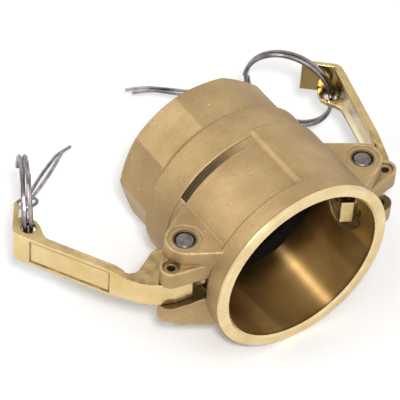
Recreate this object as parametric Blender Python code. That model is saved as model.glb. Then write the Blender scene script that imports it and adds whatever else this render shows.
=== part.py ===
"""Cam and groove coupler: a brass socket with two cam arms and a ten-sided threaded end.

The coupler lies on its side. The socket's mouth faces -Y, the threaded end faces +Y, and +Z is
up and runs along the arm pins. The origin is the centre of the mouth. Lengths are in metres.
"""
import math

import bmesh
import bpy
from mathutils import Matrix, Vector

# Socket and outside of the casting, from the mouth back along +Y
bore_radius = 0.0320
mouth_wall = 0.0047
mouth_chamfer = 0.0008
machined_length = 0.0016
casting_step = 0.0005
band_length = 0.0095
barrel_wall = 0.0028
groove_start = 0.0392
groove_width = 0.0026
groove_depth = 0.0027
groove_arcs_deg = ((96.0, 147.0), (213.0, 327.0))
collar_rise = 0.0002
collar_length = 0.0092
collar_fillet = 0.0020
collar_knee_share = 0.7
collar_foot_share = 0.93
collar_foot_run_share = 1.6
overall_length = 0.0722
wrench_radius = 0.0330
wrench_sides = 10
wrench_chamfer = 0.0014

# Raised pad on the barrel
pad_height = 0.0013
pad_start_deg = 30.0
pad_end_deg = 92.0
pad_slope = 0.0028

# Inside of the casting
socket_depth = 0.0336
gasket_recess_rise = 0.0009
gasket_recess_length = 0.0046
throat_radius = 0.0205
thread_bore_radius = 0.02392
thread_bore_length = 0.0220
thread_mouth_chamfer = 0.0011

# Ears, arm pins and safety holes
pin_across = 0.0389
pin_back = 0.0204
pin_radius = 0.0036
pin_hole_radius = 0.0039
pin_chamfer = 0.0005
ear_gap_half = 0.0055
ear_top = 0.0187
ear_plate_top = 0.0124
ear_boss_radius = 0.0073
ear_root_across = 0.0270
ear_boss_front = 0.0054
ear_corner_across = 0.0416
ear_corner_back = 0.0158
ear_corner_radius = 0.0022
ear_root_front = 0.0086
ear_root_back = 0.0362
spot_face_radius = 0.0062
spot_face_depth = 0.0004
pin_end_drop = 0.0003
safety_across = 0.0469
safety_back = 0.0164
safety_lobe_radius = 0.0042
safety_hole_radius = 0.0016
safety_dish_radius = 0.0031
safety_dish_depth = 0.0008
window_radius = 0.0105
window_back = 0.0190
window_depth = 0.0014

# Cam arms, in the plane across the pins: "out" is away from the barrel, "along" follows the lever
arm_half_width = 0.0051
grip_half_width = 0.0066
hub_radius = 0.0070
hub_hole_radius = 0.0039
nose_reach = 0.0125
nose_deg = 217.5
nose_heel_reach = 0.0101
nose_heel_deg = 239.1
cam_heel_reach = 0.0072
cam_heel_deg = 303.7
slot_clearance = 0.0007
lever_out = 0.0158
web_thickness = 0.0022
neck_back = 0.0126
neck_end = 0.0150
grip_start = 0.0225
lever_straight_end = 0.0575
tab_out = 0.0024
tab_along = 0.0664
tab_thickness = 0.0018
flange_thickness = 0.0016
flange_depth = 0.0032
flange_step = 0.0001
eye_start = 0.0470
eye_out = 0.0110
eye_along = 0.0560
eye_wall = 0.0015
eye_hole_radius = 0.0027
tip_corner_share = 1.9
tip_corner_deg = 62.0
web_shares = (0.25, 0.5, 0.75)
cam_back_shares = ((0.563, -0.133), (0.785, 0.127), (0.905, 0.335), (0.975, 0.608), (1.0, 0.95))
hub_back_shares = ((-0.3, 0.93), (-0.5, 0.8))
hub_arc_deg = (150.0, 190.0)
nose_hollow_shares = ((-0.61, -1.03), (-0.29, -0.84), (0.14, -0.79))
neck_knee_share = 0.3
neck_foot_share = 2.0
flange_tip_shares = (1.6, 1.9)
flange_neck_share = 0.15
eye_tip_shares = (2.2, 1.6)
eye_corner_share = 0.5
eye_side_share = 0.3
eye_root_shares = (0.7, 0.2)
panel_start = 0.0215
panel_end = 0.0530
panel_half_width = 0.0050
panel_depth = 0.0004
left_open_deg = 31.0
right_open_deg = 15.0

# Pull rings: two turns of round wire, wound close
ring_mean_radius = 0.0178
ring_wire_radius = 0.00085
ring_pitch = 0.0021
ring_turns = 1.96
ring_start_deg = 7.0
left_ring_heading_deg = -28.0
left_ring_drop = 0.0056
left_ring_level = 0.0175
right_ring_heading_deg = 34.0
right_ring_drop = 0.0024
right_ring_level = 0.0170

# Safety pins: split pins of round wire, hung on the rings
split_wire_radius = 0.00065
split_leg_spacing = 0.0016
split_eye_radius = 0.0040
split_eye_pull = 0.0008
split_leg_length = 0.0520
split_leg_extra = 0.0032
split_kink_length = 0.0090
split_kink_rise = 0.0022
split_kink_shares = (0.3, 0.25)
split_bow_share = 0.45
left_split_ring_deg = -45.0
right_split_ring_deg = -45.0
left_split_along = (0.73, 0.62, -0.29)
right_split_along = (-0.71, 0.70, -0.07)

# Gasket
gasket_clearance = 0.0003
gasket_inner_radius = 0.0245
gasket_edge_rise = 0.0006
gasket_edge_run = 0.0012

# Radii that follow from the bore
mouth_radius = bore_radius + mouth_wall
barrel_radius = bore_radius + barrel_wall
gasket_recess_radius = bore_radius + gasket_recess_rise

# Making of the meshes
overrun = 0.0010
merge_distance = 0.000001
sharp_deg = 35.0
wire_sharp_deg = 60.0
fine_turn = 72
hole_turn = 24
wire_turn = 8


def start_empty():
    for old in list(bpy.data.objects):
        bpy.data.objects.remove(old, do_unlink=True)


def material(name, colour, roughness, metallic):
    made = bpy.data.materials.new(name)
    made.use_nodes = True
    shader = made.node_tree.nodes["Principled BSDF"]
    shader.inputs["Base Color"].default_value = (*colour, 1.0)
    shader.inputs["Roughness"].default_value = roughness
    shader.inputs["Metallic"].default_value = metallic
    return made


def add_object(name, shape, look=None, smooth_deg=sharp_deg):
    """Turns a bmesh into a named object in the scene."""
    bmesh.ops.remove_doubles(shape, verts=shape.verts, dist=merge_distance)
    bmesh.ops.recalc_face_normals(shape, faces=shape.faces)
    mesh = bpy.data.meshes.new(name)
    shape.to_mesh(mesh)
    shape.free()
    made = bpy.data.objects.new(name, mesh)
    bpy.context.scene.collection.objects.link(made)
    if look is not None:
        mesh.materials.append(look)
    mesh.shade_smooth()
    mesh.set_sharp_from_angle(angle=math.radians(smooth_deg))
    return made


def as_tool(tool):
    tool.hide_render = True
    tool.display_type = "WIRE"
    return tool


def combine(target, tool, operation):
    as_tool(tool)
    step = target.modifiers.new(operation.lower(), "BOOLEAN")
    step.object = tool
    step.operation = operation
    step.solver = "EXACT"


def turned(name, profile, look=None, turns=fine_turn):
    """A solid turned about the Y axis from (radius, y) points; a point at radius 0 closes an end."""
    shape = bmesh.new()
    rows = []
    for radius, back in profile:
        if radius == 0.0:
            rows.append([shape.verts.new((0.0, back, 0.0))])
            continue
        row = []
        for step in range(turns):
            angle = math.tau * step / turns
            row.append(shape.verts.new((radius * math.cos(angle), back, radius * math.sin(angle))))
        rows.append(row)
    ring = rows if len(rows[0]) == 1 else rows + rows[:1]
    for here, there in zip(ring, ring[1:]):
        for step in range(turns):
            after = (step + 1) % turns
            corners = [here[step % len(here)], here[after % len(here)]]
            corners += [there[after % len(there)], there[step % len(there)]]
            unique = list(dict.fromkeys(corners))
            if len(unique) > 2:
                shape.faces.new(unique)
    return add_object(name, shape, look)


def prism(name, outline, low, high, look=None):
    """A flat outline in X and Y, extruded from z = low to z = high."""
    shape = bmesh.new()
    bottom = [shape.verts.new((x, y, low)) for x, y in outline]
    top = [shape.verts.new((x, y, high)) for x, y in outline]
    shape.faces.new(bottom)
    shape.faces.new(top)
    for here in range(len(outline)):
        after = (here + 1) % len(outline)
        shape.faces.new((bottom[here], bottom[after], top[after], top[here]))
    return add_object(name, shape, look)


def block(name, low, high):
    """A box between two corners."""
    (x0, y0, z0), (x1, y1, z1) = low, high
    return prism(name, [(x0, y0), (x1, y0), (x1, y1), (x0, y1)], z0, z1)


def circle(centre, radius, turns=hole_turn):
    return arc(centre, radius, 0.0, 360.0 * (turns - 1) / turns, turns)


def arc(centre, radius, start_deg, end_deg, count):
    points = []
    for step in range(count):
        angle = math.radians(start_deg + (end_deg - start_deg) * step / (count - 1))
        points.append((centre[0] + radius * math.cos(angle), centre[1] + radius * math.sin(angle)))
    return points


def hull(points):
    """The convex outline round a set of points in the plane."""
    points = sorted(set(points))

    def half(run):
        chain = []
        for point in run:
            while len(chain) > 1:
                (ax, ay), (bx, by) = chain[-2:]
                if (bx - ax) * (point[1] - ay) - (by - ay) * (point[0] - ax) > 0.0:
                    break
                chain.pop()
            chain.append(point)
        return chain[:-1]

    return half(points) + half(points[::-1])


def mirrored(outline, side):
    """The outline as it is on the right (side 1), or mirrored to the left (side -1)."""
    return [(side * x, y) for x, y in outline]


def polar(reach, degrees):
    angle = math.radians(degrees)
    return (reach * math.cos(angle), reach * math.sin(angle))


def tube(name, points, radius, look, sides=wire_turn):
    """A round wire with flat ends along a list of points."""
    shape = bmesh.new()
    tangents = []
    for here in range(len(points)):
        before = points[max(here - 1, 0)]
        after = points[min(here + 1, len(points) - 1)]
        tangents.append((after - before).normalized())
    across = tangents[0].orthogonal().normalized()
    rows = []
    for point, tangent in zip(points, tangents):
        across = (across - tangent * across.dot(tangent)).normalized()
        other = tangent.cross(across)
        row = []
        for step in range(sides):
            angle = math.tau * step / sides
            row.append(shape.verts.new(point + (across * math.cos(angle) + other * math.sin(angle)) * radius))
        rows.append(row)
    for here, there in zip(rows, rows[1:]):
        for step in range(sides):
            after = (step + 1) % sides
            shape.faces.new((here[step], here[after], there[after], there[step]))
    shape.faces.new(rows[0])
    shape.faces.new(rows[-1])
    return add_object(name, shape, look, smooth_deg=wire_sharp_deg)


def ear_tools(side, up):
    """One ear: a tall boss round the pin and a lower plate with the safety pin's lobe."""
    pin_centre = (pin_across, pin_back)
    boss = circle(pin_centre, ear_boss_radius, fine_turn // 2)
    lobe = circle((safety_across, safety_back), safety_lobe_radius, fine_turn // 3)
    corner = circle((ear_corner_across, ear_corner_back), ear_corner_radius)
    root = [(ear_root_across, ear_boss_front), (ear_root_across, ear_root_back)]
    plate = hull(boss + lobe + [(ear_root_across, ear_root_front)])
    low, high = sorted((up * ear_gap_half, up * ear_top))
    plate_low, plate_high = sorted((up * ear_gap_half, up * ear_plate_top))
    name = f"ear_{side}_{up}"
    boss_tool = prism(name + "_boss", mirrored(hull(boss + corner + root), side), low, high)
    plate_tool = prism(name + "_plate", mirrored(plate, side), plate_low, plate_high)
    return boss_tool, plate_tool


def ear_cuts(side, up):
    """The spot face round the pin, and the dish and hole for the safety pin."""
    name = f"ear_{side}_{up}"
    spot = prism(
        name + "_spot",
        circle((side * pin_across, pin_back), spot_face_radius, fine_turn // 2),
        *sorted((up * (ear_top - spot_face_depth), up * (ear_top + overrun))),
    )
    dish = prism(
        name + "_dish",
        circle((side * safety_across, safety_back), safety_dish_radius),
        *sorted((up * (ear_plate_top - safety_dish_depth), up * (ear_plate_top + overrun))),
    )
    return spot, dish


def wrench_prism():
    """The wrench flats, trimmed to a round chamfer at their far end."""
    corners = []
    for step in range(wrench_sides):
        corners.append(polar(wrench_radius, 360.0 * step / wrench_sides))
    shape = bmesh.new()
    near = groove_start + groove_width + collar_length / 2.0
    face_radius = wrench_radius * math.cos(math.pi / wrench_sides) - casting_step
    front = [shape.verts.new((x, near, z)) for x, z in corners]
    back = [shape.verts.new((x, overall_length, z)) for x, z in corners]
    shape.faces.new(front)
    shape.faces.new(back)
    for here in range(wrench_sides):
        after = (here + 1) % wrench_sides
        shape.faces.new((front[here], front[after], back[after], back[here]))
    flats = add_object("wrench_tool", shape)
    slope = wrench_chamfer / (wrench_radius - face_radius)
    rim = turned(
        "wrench_rim_tool",
        [
            (0.0, near - overrun),
            (wrench_radius + overrun, near - overrun),
            (wrench_radius + overrun, overall_length - wrench_chamfer - overrun * slope),
            (face_radius, overall_length),
            (0.0, overall_length),
        ],
    )
    combine(flats, rim, "INTERSECT")
    return flats


def arc_block(name, inner, outer, near, far, start_deg, end_deg):
    """A piece of a thick ring round the Y axis, between two angles."""
    steps = max(2, round(fine_turn * (end_deg - start_deg) / 360.0))
    shape = bmesh.new()
    rows = []
    for step in range(steps + 1):
        angle = start_deg + (end_deg - start_deg) * step / steps
        row = []
        for radius, back in ((inner, near), (outer, near), (outer, far), (inner, far)):
            x, z = polar(radius, angle)
            row.append(shape.verts.new((x, back, z)))
        rows.append(row)
    for here, there in zip(rows, rows[1:]):
        for corner in range(4):
            after = (corner + 1) % 4
            shape.faces.new((here[corner], here[after], there[after], there[corner]))
    shape.faces.new(rows[0])
    shape.faces.new(rows[-1])
    return add_object(name, shape)


def groove_tool(number, start_deg, end_deg):
    """The groove between the barrel and the collar, where the casting has one."""
    return arc_block(
        f"groove_tool_{number}",
        barrel_radius - groove_depth,
        barrel_radius + pad_height + overrun,
        groove_start,
        groove_start + groove_width,
        start_deg,
        end_deg,
    )


def pad_tool():
    """The raised pad on the upper right of the barrel, with sloped edges."""
    top = barrel_radius + pad_height
    slope_deg = math.degrees(pad_slope / barrel_radius)
    near = band_length - overrun
    far = groove_start + groove_width
    steps = 12
    shape = bmesh.new()

    def arch(radius, start_deg, end_deg, back):
        row = []
        for step in range(steps + 1):
            angle = start_deg + (end_deg - start_deg) * step / steps
            x, z = polar(radius, angle)
            row.append(shape.verts.new((x, back, z)))
        return row

    inside = barrel_radius - pad_height
    low_front = arch(inside, pad_start_deg, pad_end_deg, near)
    low_back = arch(inside, pad_start_deg, pad_end_deg, far)
    top_front = arch(top, pad_start_deg + slope_deg, pad_end_deg - slope_deg, near)
    top_back = arch(top, pad_start_deg + slope_deg, pad_end_deg - slope_deg, far - pad_slope)
    walls = ((low_front, low_back), (low_back, top_back), (top_back, top_front), (top_front, low_front))
    for here, there in walls:
        for step in range(steps):
            shape.faces.new((here[step], here[step + 1], there[step + 1], there[step]))
    for end in (0, steps):
        shape.faces.new((low_front[end], low_back[end], top_back[end], top_front[end]))
    return add_object("pad_tool", shape)


def make_body(look):
    collar_start = groove_start + groove_width
    collar_end = collar_start + collar_length
    collar_radius = barrel_radius + collar_rise
    outside = [
        (0.0, 0.0),
        (mouth_radius - mouth_chamfer, 0.0),
        (mouth_radius, mouth_chamfer),
        (mouth_radius, machined_length),
        (mouth_radius - casting_step, machined_length + casting_step),
        (mouth_radius - casting_step, band_length - casting_step),
        (barrel_radius, band_length + casting_step),
        (barrel_radius, groove_start),
        (collar_radius - casting_step, collar_start),
        (collar_radius, collar_start + collar_fillet),
        (collar_radius, collar_end - casting_step),
        (collar_radius - casting_step, collar_end),
        (collar_radius - collar_fillet, collar_end + collar_fillet * collar_knee_share),
        (wrench_radius * collar_foot_share, collar_end + collar_fillet * collar_foot_run_share),
        (0.0, collar_end + collar_fillet * collar_foot_run_share),
    ]
    body = turned("coupler_body", outside, look)
    combine(body, wrench_prism(), "UNION")
    for number, arc_deg in enumerate(groove_arcs_deg):
        combine(body, groove_tool(number, *arc_deg), "DIFFERENCE")
    combine(body, pad_tool(), "UNION")
    for side in (1, -1):
        for up in (1, -1):
            for tool in ear_tools(side, up):
                combine(body, tool, "UNION")
    recess_end = socket_depth + gasket_recess_length
    thread_start = overall_length - thread_bore_length
    inside = [
        (0.0, -overrun),
        (bore_radius + mouth_chamfer + overrun, -overrun),
        (bore_radius, mouth_chamfer),
        (bore_radius, socket_depth),
        (gasket_recess_radius, socket_depth + casting_step),
        (gasket_recess_radius, recess_end),
        (throat_radius, recess_end),
        (throat_radius, thread_start - casting_step),
        (thread_bore_radius, thread_start + casting_step),
        (thread_bore_radius, overall_length - thread_mouth_chamfer),
        (thread_bore_radius + thread_mouth_chamfer, overall_length),
        (thread_bore_radius + thread_mouth_chamfer, overall_length + overrun),
        (0.0, overall_length + overrun),
    ]
    combine(body, turned("bore_tool", inside), "DIFFERENCE")
    slot_front = pin_back + nose_heel_reach * math.sin(math.radians(nose_heel_deg)) - slot_clearance
    slot_back = pin_back + nose_reach + slot_clearance / 2.0
    for side in (1, -1):
        across = sorted((side * bore_radius / 2.0, side * (safety_across + safety_lobe_radius + overrun)))
        slot = block(
            f"slot_tool_{side}",
            (across[0], slot_front, -ear_gap_half),
            (across[1], slot_back, ear_gap_half),
        )
        combine(body, slot, "DIFFERENCE")
        combine(body, window_tool(side), "DIFFERENCE")
        pin_hole = prism(
            f"pin_hole_tool_{side}",
            circle((side * pin_across, pin_back), pin_hole_radius, fine_turn // 2),
            -ear_top - overrun,
            ear_top + overrun,
        )
        combine(body, pin_hole, "DIFFERENCE")
        safety_hole = prism(
            f"safety_hole_tool_{side}",
            circle((side * safety_across, safety_back), safety_hole_radius, hole_turn // 2),
            -ear_top - overrun,
            ear_top + overrun,
        )
        combine(body, safety_hole, "DIFFERENCE")
        for up in (1, -1):
            for tool in ear_cuts(side, up):
                combine(body, tool, "DIFFERENCE")
    return body


def window_tool(side):
    """The round relief in the bore's wall that the cam nose comes through."""
    shape = bmesh.new()
    start = bore_radius / 2.0
    reach = bore_radius + window_depth
    bmesh.ops.create_cone(
        shape,
        cap_ends=True,
        segments=fine_turn // 2,
        radius1=window_radius,
        radius2=window_radius,
        depth=reach - start,
        matrix=Matrix.Translation((side * (start + reach) / 2.0, window_back, 0.0))
        @ Matrix.Rotation(math.pi / 2.0, 4, "Y"),
    )
    return add_object(f"window_tool_{side}", shape)


def half_width_at(along):
    """The arm's half width: narrow in the ears, wide along the grip."""
    share = (along - neck_back) / (grip_start - neck_back)
    share = min(max(share, 0.0), 1.0)
    share = share * share * (3.0 - 2.0 * share)
    return arm_half_width + (grip_half_width - arm_half_width) * share


def arm_outline():
    """The arm seen along its pin, as (out, along) points with the pin at the origin."""
    outline = [polar(cam_heel_reach, cam_heel_deg)]
    outline += [(out * lever_out, along * lever_out) for out, along in cam_back_shares]
    for share in web_shares:
        outline.append((lever_out, neck_end + (grip_start - neck_end) * share))
    outline.append((lever_out, grip_start))
    corner = web_thickness * tip_corner_share
    outline.append((lever_out, lever_straight_end - corner))
    outline += arc((lever_out - corner, lever_straight_end), corner, 0.0, tip_corner_deg, 5)[1:]
    outline.append((tab_out, tab_along))
    bend = outline[-2]
    lean = math.atan2(tab_along - bend[1], bend[0] - tab_out)
    step = (-math.sin(lean) * tab_thickness, -math.cos(lean) * tab_thickness)
    outline.append((tab_out + step[0], tab_along + step[1]))
    outline.append((bend[0] + step[0], bend[1] + step[1]))
    inner = lever_out - web_thickness
    outline.append((inner, lever_straight_end))
    outline.append((inner, grip_start))
    for share in web_shares[::-1]:
        outline.append((inner, neck_end + (grip_start - neck_end) * share))
    knee = web_thickness * neck_knee_share
    outline += [(inner - knee, neck_end), (inner - web_thickness, neck_back + knee)]
    outline += [(inner - web_thickness * neck_foot_share, neck_back), (0.0, neck_back)]
    outline += [(hub_radius * out, neck_back * along) for out, along in hub_back_shares]
    outline += arc((0.0, 0.0), hub_radius, *hub_arc_deg, 5)
    outline.append(polar(nose_reach, nose_deg))
    outline.append(polar(nose_heel_reach, nose_heel_deg))
    outline += [(out * hub_radius, along * hub_radius) for out, along in nose_hollow_shares]
    return outline


def flange_outline(has_eye):
    """One flange of the lever, with or without the ring's eye, as (out, along) points."""
    seat = lever_out - web_thickness / 2.0
    edge = lever_out - flange_depth
    if not has_eye:
        return [
            (seat, neck_end),
            (seat, lever_straight_end),
            (edge, lever_straight_end),
            (edge, grip_start - web_thickness),
            (edge + web_thickness * flange_neck_share, neck_end + web_thickness),
        ]
    eye_edge = eye_out - eye_hole_radius - eye_wall
    rise = eye_along - eye_hole_radius - eye_wall
    eye_far = eye_along + eye_hole_radius
    tip_in, tip_on = flange_tip_shares
    return [
        (seat, neck_end),
        (seat, lever_straight_end),
        (seat - web_thickness * tip_in, lever_straight_end + web_thickness * tip_on),
        (eye_out - eye_wall, eye_far + eye_wall * eye_tip_shares[0]),
        (eye_edge + eye_wall * eye_corner_share, eye_far + eye_wall * eye_tip_shares[1]),
        (eye_edge, eye_far),
        (eye_edge, eye_along - eye_hole_radius * eye_side_share),
        (eye_edge + eye_wall, rise + eye_wall * eye_root_shares[0]),
        (eye_out, rise - eye_wall),
        (edge - eye_wall * eye_root_shares[1], eye_start + eye_wall),
        (edge, eye_start),
        (edge, grip_start - web_thickness),
        (edge + web_thickness * flange_neck_share, neck_end + web_thickness),
    ]


def loft_prism(name, outline, side, low_at, high_at, look=None):
    """An outline in (out, along), extruded between heights that depend on the distance along."""
    shape = bmesh.new()
    bottom = [shape.verts.new((side * out, along, low_at(along))) for out, along in outline]
    top = [shape.verts.new((side * out, along, high_at(along))) for out, along in outline]
    count = len(outline)
    for here in range(count):
        after = (here + 1) % count
        shape.faces.new((bottom[here], bottom[after], top[after], top[here]))
    caps = [shape.faces.new(bottom), shape.faces.new(top)]
    shape.normal_update()
    bmesh.ops.triangulate(shape, faces=caps)
    return add_object(name, shape, look)


def place(thing, pivot, turn_deg):
    thing.location = pivot
    thing.rotation_euler = (0.0, 0.0, math.radians(turn_deg))


def make_arm(name, side, open_deg, look):
    """One arm; both are the same casting, so the left one's eye is above and the right one's below."""
    pivot = (side * pin_across, pin_back, 0.0)
    turn = -side * open_deg
    arm = loft_prism(name, arm_outline(), side, lambda a: -half_width_at(a), half_width_at, look)
    tools = []
    for up in (1, -1):
        inner = flange_thickness

        def outside(along, up=up):
            return up * (half_width_at(along) + flange_step)

        def inside(along, up=up):
            return up * (half_width_at(along) - inner)

        low, high = (inside, outside) if up == 1 else (outside, inside)
        flange = loft_prism(f"{name}_flange_{up}", flange_outline(up == -side), side, low, high)
        combine(arm, flange, "UNION")
        tools.append(flange)
    span = grip_half_width + overrun
    through = sorted((0.0, -side * span))
    eye = prism(f"{name}_eye_tool", mirrored(circle((eye_out, eye_along), eye_hole_radius), side), *through)
    hole = prism(f"{name}_hole_tool", circle((0.0, 0.0), hub_hole_radius, fine_turn // 2), -span, span)
    across = sorted((side * (lever_out - panel_depth), side * (lever_out + overrun)))
    panel = block(
        f"{name}_panel_tool",
        (across[0], panel_start, -panel_half_width),
        (across[1], panel_end, panel_half_width),
    )
    for tool in (eye, hole, panel):
        combine(arm, tool, "DIFFERENCE")
        tools.append(tool)
    for thing in [arm] + tools:
        place(thing, pivot, turn)
    return arm


def make_pin(name, side, look):
    end = ear_top - spot_face_depth - pin_end_drop
    shape = bmesh.new()
    rows = []
    for radius, height in (
        (pin_radius - pin_chamfer, -end),
        (pin_radius, -end + pin_chamfer),
        (pin_radius, end - pin_chamfer),
        (pin_radius - pin_chamfer, end),
    ):
        rows.append([shape.verts.new((x, y, height)) for x, y in circle((0.0, 0.0), radius, fine_turn // 2)])
    for here, there in zip(rows, rows[1:]):
        for step in range(len(here)):
            after = (step + 1) % len(here)
            shape.faces.new((here[step], here[after], there[after], there[step]))
    shape.faces.new(rows[0])
    shape.faces.new(rows[-1])
    pin = add_object(name, shape, look)
    pin.location = (side * pin_across, pin_back, 0.0)
    return pin


def make_gasket(look):
    front = socket_depth + gasket_clearance
    back = socket_depth + gasket_recess_length - gasket_clearance
    outer = gasket_recess_radius - gasket_clearance
    profile = [
        (gasket_inner_radius, front),
        (outer - gasket_edge_run, front),
        (outer, front + gasket_edge_rise),
        (outer, back),
        (gasket_inner_radius, back),
    ]
    return turned("gasket", profile, look)


def eye_place(side, open_deg, height):
    """A point on the axis of the arm's eye, in the scene."""
    turn = Matrix.Rotation(math.radians(-side * open_deg), 4, "Z")
    return Vector((side * pin_across, pin_back, 0.0)) + turn @ Vector((side * eye_out, eye_along, height))


def ring_frame(side, open_deg, heading_deg, level, drop, eye_height):
    """The ring's centre and its two in-plane directions: level heading and up."""
    eye = eye_place(side, open_deg, eye_height)
    heading = Vector((-math.sin(math.radians(heading_deg)), math.cos(math.radians(heading_deg)), 0.0))
    centre = eye + heading * level + Vector((0.0, 0.0, -drop))
    return eye, centre, heading, Vector((0.0, 0.0, 1.0))


def make_ring(name, frame, look):
    eye, centre, heading, up = frame
    axis = heading.cross(up)
    points = []
    turns = ring_turns
    count = 96
    for step in range(count + 1):
        share = step / count
        angle = math.radians(ring_start_deg) + math.tau * turns * share
        shift = axis * (ring_pitch * turns * (share - 0.5))
        spoke = heading * math.cos(angle) + up * math.sin(angle)
        points.append(centre + spoke * ring_mean_radius + shift - eye)
    ring = tube(name, points, ring_wire_radius, look)
    ring.location = eye
    return ring


def split_path(leg_length):
    """The split pin's wire in its own frame: eye round the origin, legs along +X, spread in Y."""
    spacing = split_leg_spacing / 2.0
    meet_deg = math.degrees(math.asin(spacing / split_eye_radius))

    def leg(side, length):
        points = []
        start = split_eye_radius * math.cos(math.radians(meet_deg))
        count = 8
        for step in range(1, count + 1):
            share = step / count
            x = start + (length - start - split_kink_length) * share
            open_by = split_leg_spacing * split_bow_share * math.sin(math.pi * share)
            points.append(Vector((x, side * (spacing + open_by), 0.0)))
        kink = length - split_kink_length
        run, rise = split_kink_shares
        points.append(Vector((kink + split_kink_length * run, side * spacing, split_kink_rise * rise)))
        points.append(Vector((length, side * spacing, split_kink_rise)))
        return points

    loop = []
    count = 18
    for step in range(count + 1):
        angle = math.radians(meet_deg + (360.0 - 2.0 * meet_deg) * step / count)
        loop.append(Vector((split_eye_radius * math.cos(angle), split_eye_radius * math.sin(angle), 0.0)))
    upper = leg(1, leg_length)
    lower = leg(-1, leg_length - split_leg_extra)
    return upper[::-1] + loop + lower


def make_split_pin(name, hang, wires, along, look):
    """A split pin whose eye is round the ring's wires at hang, with its legs in the direction along."""
    along = along.normalized()
    spread = along.cross(wires).normalized()
    lift = along.cross(spread)
    path = split_path(split_leg_length)
    points = [along * (p.x + split_eye_pull) + spread * p.y + lift * p.z for p in path]
    pin = tube(name, points, split_wire_radius, look)
    pin.location = hang
    return pin


def ring_point(frame, degrees):
    """The middle of the ring's two wires at an angle round the ring, and the way that they run there."""
    eye, centre, heading, up = frame
    angle = math.radians(degrees)
    shift = heading.cross(up) * (ring_pitch * (degrees % 360.0 - 180.0) / 360.0)
    place_there = centre + (heading * math.cos(angle) + up * math.sin(angle)) * ring_mean_radius + shift
    return place_there, up * math.cos(angle) - heading * math.sin(angle)


start_empty()
cast_brass = material("cast_brass", (0.60, 0.42, 0.20), 0.45, 1.0)
bright_brass = material("bright_brass", (0.85, 0.62, 0.26), 0.22, 1.0)
pin_steel = material("pin_steel", (0.42, 0.42, 0.46), 0.35, 1.0)
wire_steel = material("wire_steel", (0.55, 0.53, 0.52), 0.25, 1.0)
black_rubber = material("black_rubber", (0.02, 0.02, 0.02), 0.70, 0.0)

make_body(cast_brass)
make_gasket(black_rubber)
make_pin("left_arm_pin", -1, pin_steel)
make_pin("right_arm_pin", 1, pin_steel)
make_arm("left_cam_arm", -1, left_open_deg, bright_brass)
make_arm("right_cam_arm", 1, right_open_deg, bright_brass)

upper_eye = grip_half_width - flange_thickness / 2.0
lower_eye = -upper_eye
left_frame = ring_frame(
    -1, left_open_deg, left_ring_heading_deg, left_ring_level, left_ring_drop, upper_eye
)
right_frame = ring_frame(
    1, right_open_deg, right_ring_heading_deg, right_ring_level, right_ring_drop, lower_eye
)
make_ring("left_pull_ring", left_frame, wire_steel)
make_ring("right_pull_ring", right_frame, wire_steel)

left_hang, left_wires = ring_point(left_frame, left_split_ring_deg)
right_hang, right_wires = ring_point(right_frame, right_split_ring_deg)
make_split_pin("left_safety_pin", left_hang, left_wires, Vector(left_split_along), wire_steel)
make_split_pin("right_safety_pin", right_hang, right_wires, Vector(right_split_along), wire_steel)
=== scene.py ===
"""The looks of the cam and groove coupler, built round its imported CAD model.

The frame is the CAD's own: metres, the socket's mouth faces -Y, +Z runs along the arm pins.
"""
import math

import bmesh
import bpy
from mathutils import Matrix, Vector


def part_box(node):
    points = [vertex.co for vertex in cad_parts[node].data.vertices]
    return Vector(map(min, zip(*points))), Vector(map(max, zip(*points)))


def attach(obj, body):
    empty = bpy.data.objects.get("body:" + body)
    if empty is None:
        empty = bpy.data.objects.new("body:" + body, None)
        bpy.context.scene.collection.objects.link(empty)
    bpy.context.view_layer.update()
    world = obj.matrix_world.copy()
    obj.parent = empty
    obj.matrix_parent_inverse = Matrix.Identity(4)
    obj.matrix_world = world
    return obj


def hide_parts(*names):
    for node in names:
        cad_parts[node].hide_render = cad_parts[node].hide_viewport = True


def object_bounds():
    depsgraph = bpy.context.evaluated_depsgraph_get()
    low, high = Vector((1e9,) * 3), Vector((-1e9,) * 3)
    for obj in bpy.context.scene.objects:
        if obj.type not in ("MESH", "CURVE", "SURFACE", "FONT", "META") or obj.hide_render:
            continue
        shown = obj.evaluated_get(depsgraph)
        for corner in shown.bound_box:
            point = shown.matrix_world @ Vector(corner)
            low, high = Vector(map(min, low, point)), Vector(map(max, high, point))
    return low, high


# Camera, fitted to the photograph's 400 x 400 frame
photo_side_px = 400.0
camera_azimuth_deg = -36.94
camera_elevation_deg = 46.08
camera_roll_deg = 4.19
camera_distance = 0.9481
camera_pivot = Vector((0.0, 0.03556, 0.0))
pivot_px = (247.94, 207.04)
px_per_metre = 2734.0
sensor_mm = 36.0
clip_share = 0.05

# The casting's own places, as in the CAD; its axis is Y and distances run back from the mouth
bore_radius = 0.0320
barrel_radius = 0.0348
machined_length = 0.0019
socket_end = 0.0338
slot_front = 0.0110
slot_back = 0.0332
slot_half = 0.0057
pin_hole_radius = 0.0039
pin_rim = 0.0007

# The groove, where the photograph has it; an arc is (start, end) round the axis, from +X toward +Z
groove_start = 0.0342
groove_end = 0.0376
groove_radius = 0.03365
groove_cut_radius = 0.03828
groove_arcs_deg = ((93.0, 147.0), (213.0, 327.0))
groove_run_out = 0.0010
run_out_share = 0.7

# The filling of the CAD's own groove, which lies further back
plain_start = 0.0390
plain_end = 0.0420
plain_root = 0.0318
plain_radius = 0.0346
plain_arcs_deg = ((90.0, 150.0), (210.0, 330.0))

# The collar, whose front reaches the groove; its two arcs overlap, so that they join
collar_front = 0.03755
collar_back = 0.0440
collar_radius = 0.0350
collar_root = 0.0338
collar_arcs_deg = ((-5.0, 185.0), (180.0, 360.0))

# How finely the blocks that change the casting are made, and what counts as a sharp edge on it
arc_step_deg = 5.0
merge_distance = 0.000002
cast_sharp_deg = 35.0

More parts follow.
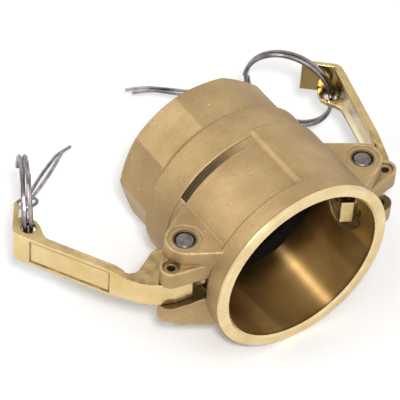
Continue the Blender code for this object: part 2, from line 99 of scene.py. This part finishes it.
# Which faces are turned: how far outside the bore's radius they may lie, and how they face
bore_slack = 0.00032
facing_share = 0.5
level_share = 0.3
smallest_radius = 0.000001

# An arm in its own frame: out from the barrel, along the lever, and up
left_open_deg = 31.0
right_open_deg = 15.0
lever_out = 0.0158
panel_start = 0.0215
panel_end = 0.0530
panel_half_width = 0.0050
panel_line = 0.00035
panel_line_depth = 0.00105
web_depth = 0.0010
web_half_width = 0.0052
web_end = 0.0522
web_blur = 0.002
tip_place = 0.0580

# Female pipe thread, G 1 1/2
thread_root_radius = 0.02388
thread_crest_radius = 0.02245
thread_gap = 0.0002
thread_pitch = 0.002309
thread_start = 0.0512
thread_end = 0.0708
thread_turn_steps = 72
thread_pitch_steps = 8
thread_sharp_deg = 50.0

# How far the painted and raised detail of the finishes reaches
mask_blur = 0.0002
groove_mask_blur = 0.0004
groove_mask_below = 0.001
cast_edge_radius = 0.0011
cast_wear_reach = 0.0012
# How far the painted shade in the casting's hollows and corners reaches
cast_shade_reach = 0.014
corner_shade_reach = 0.004
cast_lump_height = 0.00022
cast_grain_height = 0.00008
cast_pit_depth = 0.0002
turned_wave_height = 0.00006
bore_mark_height = 0.000004
arm_edge_radius = 0.0006
# How far the painted shade in the arm's cup reaches
cup_shade_reach = 0.006
arm_wave_height = 0.0002
arm_grain_height = 0.00003
steel_grain_height = 0.00002
rubber_grain_height = 0.00005
shading_samples = 8
edge_samples = 6

# How fully a painted detail covers what is under it
# Painted shade in hollows, groove, pin-hole rims and slots, and the painted reflection on the lever's web
hollow_shade_share = 0.55
groove_shade_share = 0.95
rim_shade_share = 0.75
slot_shade_share = 0.85
web_reflection_share = 0.85

# Colours: linear red, green and blue
cast_dark = (0.42, 0.28, 0.125)
cast_light = (0.55, 0.385, 0.19)
cast_worn = (0.40, 0.27, 0.115)
cast_speck = (0.92, 0.76, 0.46)
cast_edge = (0.78, 0.60, 0.34)
# Painted shade: dark brown laid over the casting in its hollows and corners
cast_hollow_shade = (0.22, 0.155, 0.065)
cast_corner_shade = (0.13, 0.085, 0.035)
# Painted shade: near-black in the groove, on the pin holes' rims and in the arm slots
groove_shade = (0.05, 0.032, 0.015)
pin_rim_shade = (0.06, 0.038, 0.020)
slot_shade = (0.05, 0.032, 0.012)
turned_dark = (0.74, 0.56, 0.28)
turned_light = (0.90, 0.74, 0.43)
bore_dark = (0.35, 0.21, 0.06)
bore_light = (0.67, 0.44, 0.175)
arm_dark = (0.68, 0.50, 0.22)
arm_light = (0.80, 0.63, 0.33)
# Painted shade along the line round the lever's panel
arm_panel_shade = (0.10, 0.055, 0.02)
arm_dull_dark = (0.20, 0.135, 0.055)
arm_dull_light = (0.46, 0.32, 0.14)
# Painted shade in the hollow of the arm's cup
arm_cup_shade = (0.07, 0.04, 0.015)
# Painted reflection: near-white on the web inside the lever's channel
arm_web_reflection = (0.98, 0.87, 0.64)
pin_dark = (0.10, 0.088, 0.084)
pin_light = (0.24, 0.21, 0.20)
wire_dark = (0.15, 0.135, 0.135)
wire_light = (0.44, 0.41, 0.41)
rubber_dark = (0.003, 0.0025, 0.002)
rubber_light = (0.009, 0.008, 0.006)
floor_pale = (0.95, 0.95, 0.95)
white = (1.0, 1.0, 1.0, 1.0)

# Studio; a lamp is (name, place, side of its square, watts)
floor_half_side = 3.0
floor_roughness = 0.9
floor_lift = 0.10
world_strength = 0.46
lamp_aim = Vector((0.0, 0.035, 0.0))
lamps = (
    ("key", (-0.40, -0.56, 0.86), 0.12, 7.0),
    ("top", (-0.7, 0.3, 0.75), 0.5, 2.8),
    ("fill", (0.7, 0.1, 0.6), 0.5, 0.8),
)


def add_object(name, data):
    """A new object in the scene that holds the data."""
    made = bpy.data.objects.new(name, data)
    bpy.context.scene.collection.objects.link(made)
    return made


def camera_axes():
    """The camera's right, up and backward directions."""
    azimuth = math.radians(camera_azimuth_deg)
    elevation = math.radians(camera_elevation_deg)
    roll = math.radians(camera_roll_deg)
    back = Vector((
        math.sin(azimuth) * math.cos(elevation),
        -math.cos(azimuth) * math.cos(elevation),
        math.sin(elevation),
    ))
    level = Vector((math.cos(azimuth), math.sin(azimuth), 0.0))
    rise = back.cross(level)
    right = level * math.cos(roll) + rise * math.sin(roll)
    up = rise * math.cos(roll) - level * math.sin(roll)
    return right, up, back


def add_camera():
    """The camera, placed so that the pivot falls on its pixel in the photograph."""
    right, up, back = camera_axes()
    middle = photo_side_px / 2.0
    aim = camera_pivot + right * ((middle - pivot_px[0]) / px_per_metre)
    aim += up * ((pivot_px[1] - middle) / px_per_metre)
    data = bpy.data.cameras.new("photo_camera")
    data.sensor_width = sensor_mm
    data.lens = sensor_mm * camera_distance * px_per_metre / photo_side_px
    data.clip_start = camera_distance * clip_share
    camera = add_object("photo_camera", data)
    turn = Matrix((right, up, back)).transposed().to_4x4()
    camera.matrix_world = Matrix.Translation(aim + back * camera_distance) @ turn
    bpy.context.scene.camera = camera


class Nodes:
    """A material's node tree, with short calls for the nodes that the finishes use."""

    def __init__(self, name):
        self.material = bpy.data.materials.new(name)
        self.material.use_nodes = True
        self.tree = self.material.node_tree
        self.shader = self.tree.nodes["Principled BSDF"]
        self.position = self.add("ShaderNodeTexCoord").outputs["Object"]

    def add(self, kind, **values):
        node = self.tree.nodes.new(kind)
        for key, value in values.items():
            setattr(node, key, value)
        return node

    def feed(self, socket, value):
        """Links a socket to another node's output, or sets it to a number or a colour."""
        if hasattr(value, "links"):
            self.tree.links.new(value, socket)
        elif isinstance(value, tuple):
            socket.default_value = (*value, 1.0)
        else:
            socket.default_value = value

    def noise(self, scale, detail=2.0, roughness=0.5, stretch=None):
        """Soft random patches from 0 to 1; scale is about how many there are in a metre."""
        node = self.add("ShaderNodeTexNoise")
        node.inputs["Scale"].default_value = scale
        node.inputs["Detail"].default_value = detail
        node.inputs["Roughness"].default_value = roughness
        place = self.position
        if stretch:
            mapping = self.add("ShaderNodeMapping")
            mapping.inputs["Scale"].default_value = stretch
            self.feed(mapping.inputs["Vector"], place)
            place = mapping.outputs["Vector"]
        self.feed(node.inputs["Vector"], place)
        return node.outputs["Fac"]

    def ramp(self, value, *stops):
        """Colours or greys along a 0 to 1 value; a stop is (place, grey) or (place, (r, g, b))."""
        node = self.add("ShaderNodeValToRGB")
        elements = node.color_ramp.elements
        while len(elements) < len(stops):
            # Any place will do, because each is set below
            elements.new(0.5)
        for element, (place, colour) in zip(elements, stops):
            element.position = place
            if isinstance(colour, float):
                colour = (colour, colour, colour)
            element.color = (*colour, 1.0)
        self.feed(node.inputs["Fac"], value)
        return node.outputs["Color"]

    def mix(self, share, first, second, blend="MIX"):
        """The first colour, turned into the second by a share from 0 to 1."""
        node = self.add("ShaderNodeMix", data_type="RGBA", blend_type=blend)
        sockets = {socket.identifier: socket for socket in node.inputs}
        self.feed(sockets["Factor_Float"], share)
        self.feed(sockets["A_Color"], first)
        self.feed(sockets["B_Color"], second)
        outputs = {socket.identifier: socket for socket in node.outputs}
        return outputs["Result_Color"]

    def bump(self, height, distance, strength, below=None):
        """A relief of the given depth, laid over the normal below it."""
        node = self.add("ShaderNodeBump")
        node.inputs["Distance"].default_value = distance
        node.inputs["Strength"].default_value = strength
        self.feed(node.inputs["Height"], height)
        if below is not None:
            self.feed(node.inputs["Normal"], below)
        return node.outputs["Normal"]

    def math(self, operation, *values):
        node = self.add("ShaderNodeMath", operation=operation)
        for socket, value in zip(node.inputs, values):
            self.feed(socket, value)
        return node.outputs[0]

    def times(self, first, second):
        return self.math("MULTIPLY", first, second)

    def coordinates(self, place=None):
        """The three parts of a place or a direction, the surface's own place if none is given."""
        node = self.add("ShaderNodeSeparateXYZ")
        self.feed(node.inputs[0], self.position if place is None else place)
        return node.outputs

    def reach(self, first, second):
        """The length of a vector with two parts."""
        squares = self.math("MULTIPLY_ADD", first, first, self.times(second, second))
        return self.math("SQRT", squares)

    def within(self, value, low, high, blur=mask_blur):
        """1 where the value is between low and high, with soft sides."""
        node = self.add("ShaderNodeMapRange", interpolation_type="SMOOTHSTEP")
        middle = (low + high) / 2.0
        half = (high - low) / 2.0
        away = self.math("ABSOLUTE", self.math("SUBTRACT", value, middle))
        self.feed(node.inputs["Value"], away)
        node.inputs["From Min"].default_value = half + blur
        node.inputs["From Max"].default_value = half - blur
        return node.outputs["Result"]

    def occlusion(self, distance, **values):
        node = self.add("ShaderNodeAmbientOcclusion", samples=shading_samples, **values)
        node.inputs["Distance"].default_value = distance
        return node.outputs["AO"]

    def hollows(self, distance, dark=0.25, clear=0.75):
        """1 deep in a hollow or a corner and 0 in the open; the finishes paint shade with it."""
        return self.ramp(self.occlusion(distance), (dark, 1.0), (clear, 0.0))

    def edges(self, distance):
        """Above 0 along outer edges, where the material behind the surface is thin."""
        thin = self.occlusion(distance, inside=True, only_local=True)
        return self.ramp(thin, (0.55, 0.6), (0.92, 0.0))

    def soft_edges(self, radius):
        """A normal that turns softly over the edges."""
        node = self.add("ShaderNodeBevel", samples=edge_samples)
        node.inputs["Radius"].default_value = radius
        return node.outputs["Normal"]

    def turned_place(self, pivot, turn_deg):
        """The place in a frame that is moved to the pivot and turned about +Z."""
        node = self.add("ShaderNodeMapping")
        angle = math.radians(-turn_deg)
        node.inputs["Rotation"].default_value = (0.0, 0.0, angle)
        node.inputs["Location"].default_value = -(Matrix.Rotation(angle, 3, "Z") @ pivot)
        self.feed(node.inputs["Vector"], self.position)
        return node.outputs["Vector"]

    def finish(self, colour, roughness, metallic, normal=None):
        self.feed(self.shader.inputs["Base Color"], colour)
        self.feed(self.shader.inputs["Roughness"], roughness)
        self.feed(self.shader.inputs["Metallic"], metallic)
        if normal is not None:
            self.feed(self.shader.inputs["Normal"], normal)
        return self.material


def pin_middle(pin):
    """Where an arm's pin stands, on the plane through the socket's axis."""
    low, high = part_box(pin)
    middle = (low + high) / 2.0
    return Vector((middle.x, middle.y, 0.0))


def cast_masks(nodes):
    """1 in the casting's groove, on the rims of its pin holes and in its arm slots, where shade is painted.
    """
    x, y, z = nodes.coordinates()
    groove = nodes.times(
        nodes.within(y, groove_start, groove_end),
        nodes.within(
            nodes.reach(x, z),
            groove_radius - groove_mask_below,
            (barrel_radius + groove_radius) / 2.0,
            groove_mask_blur,
        ),
    )
    pin = pin_middle("right_arm_pin")
    from_pin = nodes.reach(
        nodes.math("SUBTRACT", nodes.math("ABSOLUTE", x), pin.x),
        nodes.math("SUBTRACT", y, pin.y),
    )
    rim = nodes.within(from_pin, 0.0, pin_hole_radius + pin_rim)
    slot = nodes.times(
        nodes.within(z, -slot_half, slot_half),
        nodes.within(y, slot_front, slot_back),
    )
    return groove, rim, slot


def cast_brass():
    """Sand-cast brass: matte tan with fine grain, soft patches and a few bright specks, with painted shade
    in its hollows, groove, pin-hole rims and arm slots.
    """
    nodes = Nodes("cast_brass")
    patches = nodes.ramp(nodes.noise(scale=55.0, detail=3.0), (0.35, cast_dark), (0.65, cast_light))
    grain = nodes.noise(scale=2600.0, detail=4.0, roughness=0.6)
    colour = nodes.mix(1.0, patches, nodes.ramp(grain, (0.35, 0.76), (0.65, 1.0)), "MULTIPLY")
    worn = nodes.ramp(nodes.noise(scale=140.0, detail=4.0, roughness=0.65), (0.55, 0.0), (0.78, 0.5))
    colour = nodes.mix(worn, colour, cast_worn)
    specks = nodes.ramp(nodes.noise(scale=900.0, detail=1.0), (0.78, 0.0), (0.80, 1.0))
    colour = nodes.mix(specks, colour, cast_speck)
    broken = nodes.ramp(nodes.noise(scale=260.0, detail=3.0), (0.35, 0.15), (0.65, 0.9))
    colour = nodes.mix(nodes.times(nodes.edges(cast_wear_reach), broken), colour, cast_edge)
    # Painted shade in the casting's hollows, from the occlusion there
    hollow_shade = nodes.hollows(cast_shade_reach, dark=0.3, clear=0.9)
    colour = nodes.mix(nodes.times(hollow_shade, hollow_shade_share), colour, cast_hollow_shade)
    # Painted shade in the groove, on the rims of the pin holes and in the arm slots
    groove, rim, slot = cast_masks(nodes)
    colour = nodes.mix(nodes.times(groove, groove_shade_share), colour, groove_shade)
    colour = nodes.mix(nodes.times(rim, rim_shade_share), colour, pin_rim_shade)
    colour = nodes.mix(nodes.times(slot, slot_shade_share), colour, slot_shade)
    # Painted shade, darkest deep in corners
    colour = nodes.mix(nodes.hollows(corner_shade_reach), colour, cast_corner_shade)
    lumps = nodes.noise(scale=350.0, detail=3.0)
    pits = nodes.ramp(nodes.noise(scale=700.0, detail=1.0), (0.24, 0.0), (0.32, 1.0))
    normal = nodes.bump(lumps, cast_lump_height, strength=0.55, below=nodes.soft_edges(cast_edge_radius))
    normal = nodes.bump(grain, cast_grain_height, strength=0.7, below=normal)
    normal = nodes.bump(pits, cast_pit_depth, strength=0.5, below=normal)
    roughness = nodes.ramp(grain, (0.3, 0.40), (0.7, 0.56))
    return nodes.finish(colour, roughness, metallic=0.75, normal=normal)


def machined_brass():
    """Turned brass: bright pale yellow, a little uneven."""
    nodes = Nodes("machined_brass")
    tint = nodes.ramp(nodes.noise(scale=90.0), (0.3, turned_dark), (0.7, turned_light))
    waves = nodes.noise(scale=160.0)
    normal = nodes.bump(waves, turned_wave_height, strength=0.4)
    roughness = nodes.ramp(waves, (0.3, 0.22), (0.7, 0.34))
    return nodes.finish(tint, roughness, metallic=1.0, normal=normal)


def bore_brass():
    """The bore's turned wall: golden brown, with rings from the tool that draw light out along the axis,
    painted shade deep inside and darker at the mouth's edge.
    """
    nodes = Nodes("bore_brass")
    tint = nodes.ramp(nodes.noise(scale=45.0, detail=3.0), (0.3, bore_dark), (0.7, bore_light))
    # Painted shade: darker deep in the bore, and darker at the mouth's edge
    depth = nodes.math("DIVIDE", nodes.coordinates()[1], socket_end)
    shade = nodes.ramp(depth, (0.02, 0.3), (0.07, 1.0), (0.70, 1.0), (0.96, 0.35))
    tint = nodes.mix(1.0, tint, shade, "MULTIPLY")
    marks = nodes.noise(scale=700.0, stretch=(0.04, 2.5, 0.04))
    normal = nodes.bump(marks, bore_mark_height, strength=0.3)
    nodes.shader.inputs["Anisotropic"].default_value = 1.0
    nodes.shader.inputs["Anisotropic Rotation"].default_value = 0.25
    round_axis = nodes.add("ShaderNodeTangent", direction_type="RADIAL", axis="Y")
    nodes.feed(nodes.shader.inputs["Tangent"], round_axis.outputs[0])
    roughness = nodes.ramp(marks, (0.3, 0.29), (0.7, 0.33))
    return nodes.finish(tint, roughness, metallic=1.0, normal=normal)


def panel_outline(nodes, out, along, away):
    """1 on the line round the panel on the lever's outer face, where shade is painted."""
    blur = panel_line / 2.0
    inside = nodes.times(
        nodes.within(along, panel_start - panel_line, panel_end + panel_line, blur),
        nodes.within(away, -panel_half_width, panel_half_width + panel_line, blur),
    )
    middle = nodes.times(
        nodes.within(along, panel_start + panel_line, panel_end - panel_line, blur),
        nodes.within(away, -panel_half_width, panel_half_width - panel_line, blur),
    )
    face = nodes.math("GREATER_THAN", out, lever_out - panel_line_depth)
    return nodes.times(nodes.math("SUBTRACT", inside, middle), face)


def lever_web(nodes, out, along, away):
    """1 on the web inside the lever's channel, where a reflection is painted."""
    inner = nodes.math("LESS_THAN", out, lever_out - web_depth)
    web = nodes.times(inner, nodes.within(along, panel_start, web_end, web_blur))
    return nodes.times(web, nodes.within(away, -web_half_width, web_half_width))


def dull_cheeks(nodes, lengthways):
    """Above 0 on the faces that look along the pin, most of all near the hub."""
    facing = nodes.add("ShaderNodeTexCoord").outputs["Normal"]
    level = nodes.math("ABSOLUTE", nodes.coordinates(facing)[2])
    cheek = nodes.ramp(level, (0.7, 0.0), (0.9, 0.8))
    return nodes.times(cheek, nodes.ramp(lengthways, (0.28, 1.0), (0.42, 0.5)))


def arm_brass(name, pin, side, open_deg):
    """A cam arm: smooth bright brass, slightly wavy from the mould, with painted shade round its panel and
    in its cup and a painted reflection on its web.
    """
    nodes = Nodes(name)
    across, along, height = nodes.coordinates(nodes.turned_place(pin_middle(pin), -side * open_deg))
    out = nodes.times(across, side)
    away = nodes.math("ABSOLUTE", height)
    lengthways = nodes.math("DIVIDE", along, tip_place)
    tint = nodes.ramp(nodes.noise(scale=80.0), (0.3, arm_dark), (0.7, arm_light))
    # Painted shade along the line round the panel, broken in places
    broken = nodes.ramp(nodes.noise(scale=160.0), (0.35, 0.35), (0.6, 0.9))
    tint = nodes.mix(nodes.times(panel_outline(nodes, out, along, away), broken), tint, arm_panel_shade)
    dull = nodes.ramp(nodes.noise(scale=240.0, detail=3.0), (0.35, arm_dull_dark), (0.65, arm_dull_light))
    tint = nodes.mix(dull_cheeks(nodes, lengthways), tint, dull)
    # Painted shade in hollows toward the arm's tip, in its cup
    cup = nodes.hollows(cup_shade_reach, dark=0.3, clear=0.9)
    tint = nodes.mix(nodes.times(cup, nodes.ramp(lengthways, (0.86, 0.15), (1.0, 1.0))), tint, arm_cup_shade)
    # Painted reflection of the white surroundings on the web inside the channel
    tint = nodes.mix(nodes.times(lever_web(nodes, out, along, away), web_reflection_share), tint, arm_web_reflection)
    waves = nodes.noise(scale=220.0)
    grain = nodes.noise(scale=1800.0, detail=3.0)
    normal = nodes.bump(waves, arm_wave_height, strength=0.5, below=nodes.soft_edges(arm_edge_radius))
    normal = nodes.bump(grain, arm_grain_height, strength=0.5, below=normal)
    roughness = nodes.ramp(waves, (0.3, 0.18), (0.7, 0.32))
    return nodes.finish(tint, roughness, metallic=1.0, normal=normal)


def steel(name, dark, light, smooth, rough, scale):
    """Plain or drawn steel, from dark to light in soft patches."""
    nodes = Nodes(name)
    patches = nodes.noise(scale)
    tint = nodes.ramp(patches, (0.3, dark), (0.7, light))
    normal = nodes.bump(patches, steel_grain_height, strength=0.3)
    roughness = nodes.ramp(patches, (0.3, smooth), (0.7, rough))
    return nodes.finish(tint, roughness, metallic=1.0, normal=normal)


def black_rubber():
    """The gasket's rubber: nearly black, dull and finely grained."""
    nodes = Nodes("gasket_rubber")
    grain = nodes.noise(scale=1500.0, detail=3.0)
    tint = nodes.ramp(grain, (0.3, rubber_dark), (0.7, rubber_light))
    normal = nodes.bump(grain, rubber_grain_height, strength=0.5)
    nodes.shader.inputs["Specular IOR Level"].default_value = 0.12
    return nodes.finish(tint, roughness=0.85, metallic=0.0, normal=normal)


def dress(node, material):
    """Gives a CAD node its finish."""
    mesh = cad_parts[node].data
    mesh.materials.clear()
    mesh.materials.append(material)


def mesh_of(shape, name):
    """The shape as a mesh of its own, with its faces pointing out."""
    bmesh.ops.recalc_face_normals(shape, faces=shape.faces)
    mesh = bpy.data.meshes.new(name)
    shape.to_mesh(mesh)
    shape.free()
    return mesh


def add_row(shape, places):
    """A row of corners; a place is (radius, distance along the axis, angle round it)."""
    row = []
    for radius, along, angle in places:
        row.append(shape.verts.new((radius * math.cos(angle), along, radius * math.sin(angle))))
    return row


def join_rows(shape, rows):
    """Faces from each row of corners to the next, where each row is a closed loop."""
    for here, there in zip(rows, rows[1:]):
        for corner in range(len(here)):
            after = (corner + 1) % len(here)
            shape.faces.new((here[corner], here[after], there[after], there[corner]))


def arc_block(name, inner, outer, near, far, arc_deg, run_out=0.0):
    """A piece of a thick ring round the Y axis, as a tool for the casting.

    The inner face starts higher by run_out and sinks over the first part of the arc, so that a
    groove runs out there.
    """
    start, end = arc_deg
    steps = round((end - start) / arc_step_deg)
    shape = bmesh.new()
    rows = []
    for step in range(steps + 1):
        angle = math.radians(start + (end - start) * step / steps)
        floor = inner + run_out * max(0.0, 1.0 - step / steps / run_out_share)
        corners = ((floor, near), (outer, near), (outer, far), (floor, far))
        rows.append(add_row(shape, [(radius, along, angle) for radius, along in corners]))
    join_rows(shape, rows)
    shape.faces.new(rows[0])
    shape.faces.new(rows[-1])
    return add_object(name, mesh_of(shape, name))


def body_tools():
    """The blocks that move the groove and the collar's front, each with how it is applied."""
    tools = []
    for number, arc_deg in enumerate(plain_arcs_deg):
        block = arc_block(f"plain_{number}", plain_root, plain_radius, plain_start, plain_end, arc_deg)
        tools.append((block, "UNION"))
    for number, arc_deg in enumerate(collar_arcs_deg):
        block = arc_block(f"collar_{number}", collar_root, collar_radius, collar_front, collar_back, arc_deg)
        tools.append((block, "UNION"))
    for number, arc_deg in enumerate(groove_arcs_deg):
        block = arc_block(
            f"groove_{number}", groove_radius, groove_cut_radius, groove_start, groove_end,
            arc_deg, groove_run_out,
        )
        tools.append((block, "DIFFERENCE"))
    return tools


def cast_blank():
    """A copy of the CAD's casting whose faces share their corners, so that it counts as closed."""
    mesh = bpy.data.meshes.new("cast_blank")
    shape = bmesh.new()
    shape.from_mesh(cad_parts["coupler_body"].data)
    bmesh.ops.remove_doubles(shape, verts=shape.verts, dist=merge_distance)
    shape.to_mesh(mesh)
    shape.free()
    return mesh


def plain_copy(cut, name):
    """A mesh with the corners and faces of another, in triangles, and none of its stored normals."""
    mesh = bpy.data.meshes.new(name)
    corners = [tuple(vertex.co) for vertex in cut.vertices]
    faces = [tuple(face.vertices) for face in cut.polygons]
    mesh.from_pydata(corners, [], faces)
    shape = bmesh.new()
    shape.from_mesh(mesh)
    bmesh.ops.triangulate(shape, faces=shape.faces)
    bmesh.ops.remove_doubles(shape, verts=shape.verts, dist=merge_distance)
    bmesh.ops.dissolve_degenerate(shape, edges=shape.edges, dist=merge_distance)
    bmesh.ops.recalc_face_normals(shape, faces=shape.faces)
    shape.to_mesh(mesh)
    shape.free()
    return mesh


def shade_mesh(mesh, sharp_deg):
    """Smooth shading with the sharp edges kept."""
    mesh.shade_smooth()
    mesh.set_sharp_from_angle(angle=math.radians(sharp_deg))


def make_body():
    """The casting, with its groove and its collar's front where the photograph shows them."""
    body = add_object("cast_body", cast_blank())
    tools = body_tools()
    for tool, operation in tools:
        step = body.modifiers.new(tool.name, "BOOLEAN")
        step.object = tool
        step.operation = operation
        step.solver = "MANIFOLD"
    cut = body.evaluated_get(bpy.context.evaluated_depsgraph_get()).to_mesh()
    mesh = plain_copy(cut, "cast_body")
    body.modifiers.clear()
    body.data = mesh
    for tool, operation in tools:
        bpy.data.objects.remove(tool, do_unlink=True)
    shade_mesh(mesh, cast_sharp_deg)
    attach(body, "body")
    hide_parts("coupler_body")
    return mesh


def dress_body(mesh):
    """The casting is matte; its mouth ring and bore are turned bright."""
    mesh.materials.clear()
    for material in (cast_brass(), machined_brass(), bore_brass()):
        mesh.materials.append(material)
    cast, machined, bore = range(len(mesh.materials))
    for face in mesh.polygons:
        centre = face.center
        radius = math.hypot(centre.x, centre.z)
        outward = (face.normal.x * centre.x + face.normal.z * centre.z) / max(radius, smallest_radius)
        in_bore = centre.y < socket_end and radius < bore_radius + bore_slack
        at_mouth = centre.y < machined_length
        if in_bore and outward < -facing_share and abs(face.normal.y) < level_share:
            face.material_index = bore
        elif at_mouth and (outward > facing_share or face.normal.y < -level_share):
            face.material_index = machined
        else:
            face.material_index = cast


def thread_radius(turn, along):
    """The thread's radius at a place along the axis and a share of a turn round it."""
    phase = (along / thread_pitch - turn) % 1.0
    rise = 1.0 - abs(2.0 * phase - 1.0)
    return thread_root_radius - thread_gap - (thread_root_radius - thread_crest_radius) * rise


def add_thread():
    """The female pipe thread as a sleeve of helical ridges that lines the CAD's plain bore."""
    length = thread_end - thread_start
    steps = round(length / thread_pitch * thread_pitch_steps)
    turns = [step / thread_turn_steps for step in range(thread_turn_steps)]
    shape = bmesh.new()
    rows = []
    for step in range(steps + 1):
        along = thread_start + length * step / steps
        rows.append(add_row(shape, [(thread_radius(turn, along), along, math.tau * turn) for turn in turns]))
    for along in (thread_end, thread_start):
        rows.append(add_row(shape, [(thread_root_radius, along, math.tau * turn) for turn in turns]))
    join_rows(shape, rows + rows[:1])
    mesh = mesh_of(shape, "pipe_thread")
    shade_mesh(mesh, thread_sharp_deg)
    mesh.materials.append(machined_brass())
    thread = add_object("pipe_thread", mesh)
    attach(thread, "body")


def add_lamp(name, place, side, watts):
    """A square lamp that looks at the middle of the object."""
    data = bpy.data.lights.new(name, "AREA")
    data.shape = "RECTANGLE"
    data.size = side
    data.size_y = side
    data.energy = watts
    lamp = add_object(name, data)
    back = (Vector(place) - lamp_aim).normalized()
    lamp.matrix_world = Matrix.Translation(place) @ back.to_track_quat("Z", "Y").to_matrix().to_4x4()


def add_world():
    """White where the camera, gloss and glass look past the object, plain light otherwise."""
    world = bpy.data.worlds.new("studio")
    world.use_nodes = True
    tree = world.node_tree
    shown = tree.nodes["Background"]
    shown.inputs["Color"].default_value = white
    shown.inputs["Strength"].default_value = 1.0
    plain = tree.nodes.new("ShaderNodeBackground")
    plain.inputs["Color"].default_value = white
    plain.inputs["Strength"].default_value = world_strength
    path = tree.nodes.new("ShaderNodeLightPath")
    seen = path.outputs["Is Camera Ray"]
    for ray in ("Is Glossy Ray", "Is Transmission Ray"):
        either = tree.nodes.new("ShaderNodeMath")
        either.operation = "MAXIMUM"
        tree.links.new(seen, either.inputs[0])
        tree.links.new(path.outputs[ray], either.inputs[1])
        seen = either.outputs[0]
    mixed = tree.nodes.new("ShaderNodeMixShader")
    tree.links.new(seen, mixed.inputs["Fac"])
    tree.links.new(plain.outputs[0], mixed.inputs[1])
    tree.links.new(shown.outputs[0], mixed.inputs[2])
    tree.links.new(mixed.outputs[0], tree.nodes["World Output"].inputs["Surface"])
    bpy.context.scene.world = world


def add_floor():
    """A pale floor under the object, lifted to white for the camera only, which keeps its shadow."""
    shape = bmesh.new()
    bmesh.ops.create_grid(shape, x_segments=1, y_segments=1, size=floor_half_side)
    mesh = bpy.data.meshes.new("floor")
    shape.to_mesh(mesh)
    shape.free()
    floor = add_object("floor", mesh)
    floor.location = (0.0, 0.0, cad_box[0][2])
    nodes = Nodes("floor_white")
    seen = nodes.add("ShaderNodeLightPath").outputs["Is Camera Ray"]
    nodes.feed(nodes.shader.inputs["Emission Strength"], nodes.times(seen, floor_lift))
    nodes.shader.inputs["Emission Color"].default_value = white
    mesh.materials.append(nodes.finish(floor_pale, floor_roughness, metallic=0.0))


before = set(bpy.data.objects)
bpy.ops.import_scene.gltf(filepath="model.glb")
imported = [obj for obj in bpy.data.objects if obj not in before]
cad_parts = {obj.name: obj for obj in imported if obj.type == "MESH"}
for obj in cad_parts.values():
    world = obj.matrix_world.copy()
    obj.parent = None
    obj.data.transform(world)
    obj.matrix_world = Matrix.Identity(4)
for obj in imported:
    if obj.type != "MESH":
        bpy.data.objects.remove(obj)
cad_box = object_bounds()
add_camera()
dress_body(make_body())
dress("left_cam_arm", arm_brass("left_arm_brass", "left_arm_pin", -1.0, left_open_deg))
dress("right_cam_arm", arm_brass("right_arm_brass", "right_arm_pin", 1.0, right_open_deg))
add_thread()
for pin in ("left_arm_pin", "right_arm_pin"):
    dress(pin, steel("pin_steel", pin_dark, pin_light, smooth=0.30, rough=0.45, scale=420.0))
for wire in ("left_pull_ring", "right_pull_ring", "left_safety_pin", "right_safety_pin"):
    dress(wire, steel("wire_steel", wire_dark, wire_light, smooth=0.18, rough=0.34, scale=160.0))
dress("gasket", black_rubber())
add_floor()
add_world()
for lamp in lamps:
    add_lamp(*lamp)
bpy.context.scene.view_settings.view_transform = "Standard"
